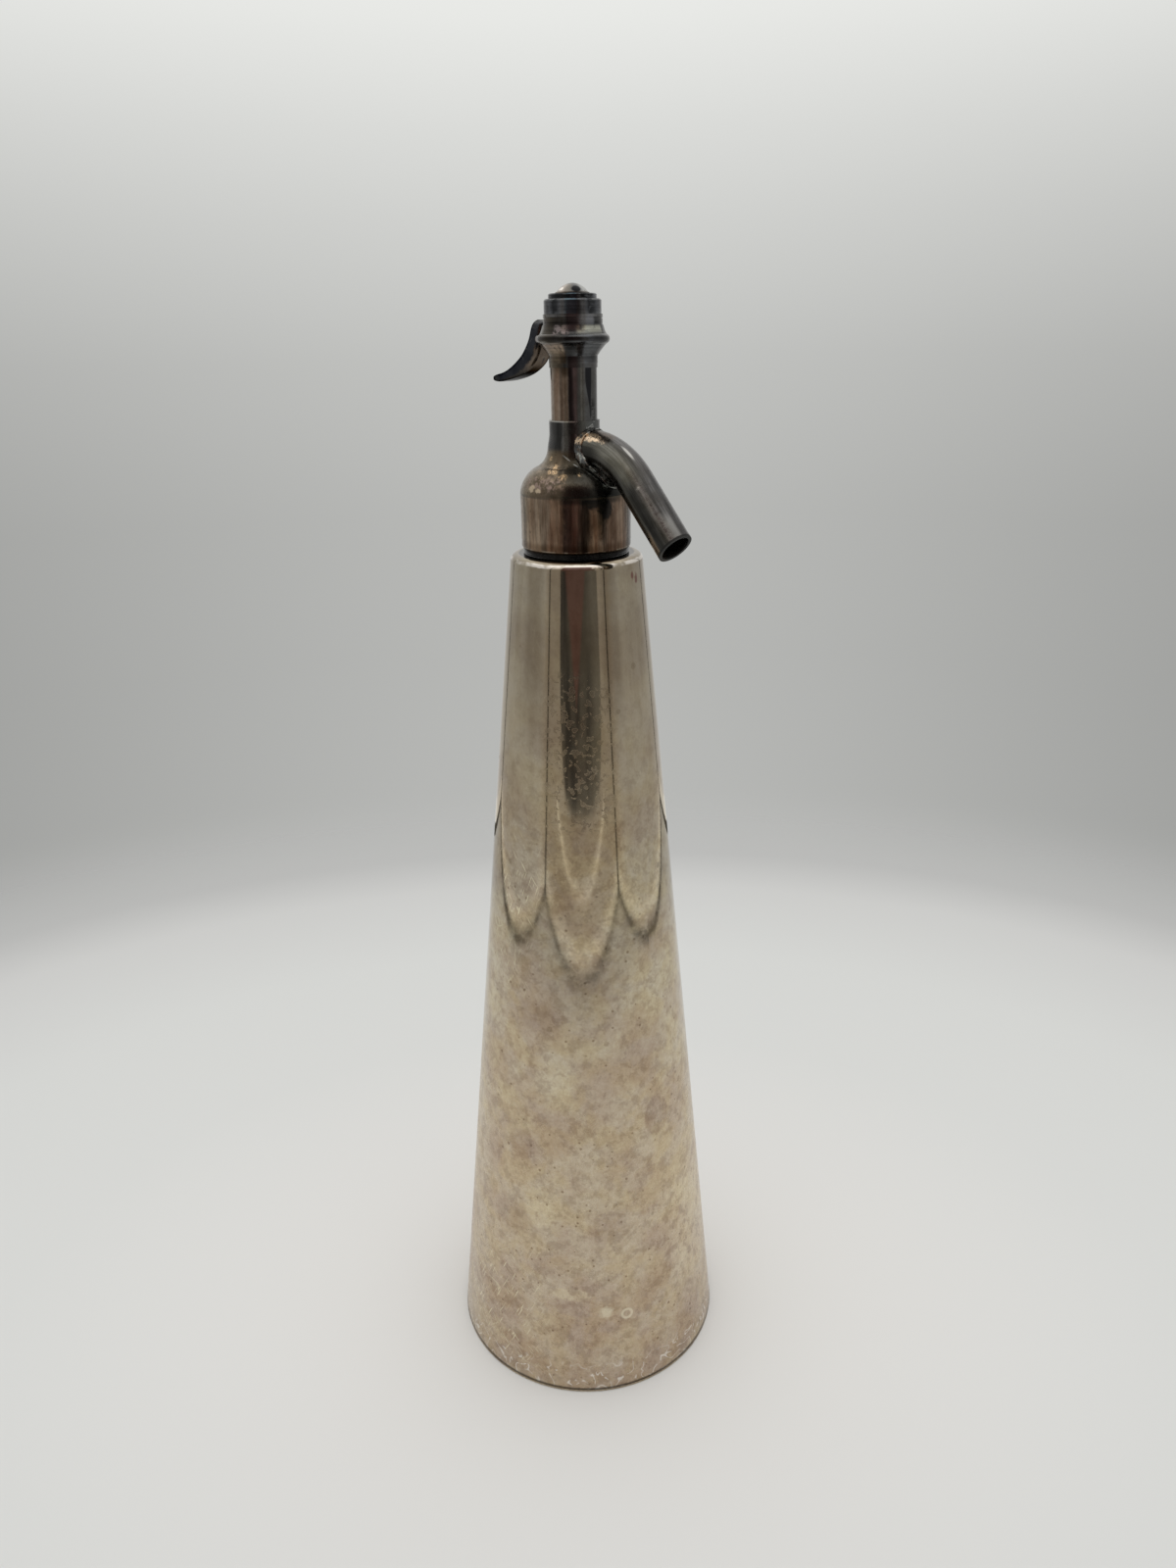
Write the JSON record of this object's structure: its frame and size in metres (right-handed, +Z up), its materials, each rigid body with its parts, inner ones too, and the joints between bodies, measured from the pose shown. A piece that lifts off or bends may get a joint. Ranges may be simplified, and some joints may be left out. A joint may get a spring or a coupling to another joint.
{
  "type": "soda siphon",
  "caption": "Tall conical soda siphon: plated sleeve over a glass bottle, with a screwed collar, domed valve head, bent spout and sprung thumb lever.",
  "frame": {"origin": "centre of the base ring, on the surface that the siphon stands on", "axes": "+Z up along the bottle's axis, +X towards the spout, -X towards the lever"},
  "size_m": [0.108, 0.108, 0.4123],
  "materials": {
    "plated_sleeve": "silver plate, warm tarnish, satin to mirror",
    "plated_base": "silver plate, dull",
    "tarnished_plate": "heavily tarnished silver plate, brown and near black",
    "bright_plate": "bright silver plate",
    "solder_bead": "tarnished solder",
    "bare_brass": "bare machined brass",
    "spring_steel": "drawn steel",
    "bottle_glass": "clear moulded glass",
    "tube_glass": "clear drawn glass",
    "black_rubber": "matte black rubber",
    "soft_rubber": "matte dark rubber",
    "red_fibre": "pressed fibre"
  },
  "bodies": {
    "siphon": {"base_plate": "plated_base", "bottle_pad": "soft_rubber", "outer_sleeve": "plated_sleeve", "glass_bottle": "bottle_glass", "sleeve_bush": "soft_rubber", "sleeve_washer": "black_rubber", "neck_collar": "tarnished_plate", "split_ring_right": "bare_brass", "split_ring_left": "bare_brass", "neck_gasket": "soft_rubber", "tube_ferrule": "bare_brass", "tube_seal": "soft_rubber", "dip_tube": "tube_glass", "head_body": "tarnished_plate", "spout": "tarnished_plate", "spout_solder": "solder_bead", "valve_seat": "bare_brass", "barrel": "tarnished_plate", "plunger_packing": "soft_rubber", "packing_gland": "bare_brass", "lock_ring": "tarnished_plate", "lever_housing": "tarnished_plate", "lever_pin": "spring_steel", "return_spring": "spring_steel", "cap_seal": "red_fibre", "cap": "tarnished_plate", "cap_disc": "tarnished_plate", "cap_button": "bright_plate"},
    "lever": {"lever": "tarnished_plate"},
    "valve": {"valve_plunger": "bare_brass", "valve_washer": "soft_rubber"}
  },
  "joints": [
    {"name": "lever_press", "type": "hinge", "parent": "siphon", "child": "lever", "pos_m": [-0.009, 0, 0.396], "axis": [0, -1, 0], "range_deg": [0, 17]},
    {"name": "valve_lift", "type": "slide", "parent": "siphon", "child": "valve", "axis": [0, 0, 1], "range_m": [0, 0.00237], "stiffness_N_per_m": 4000, "springref_m": -0.0045, "deforming": ["return_spring"]}
  ],
  "couplings": [
    {"joint": "lever_press", "follows": "valve_lift", "rad_per_m": 125}
  ]
}
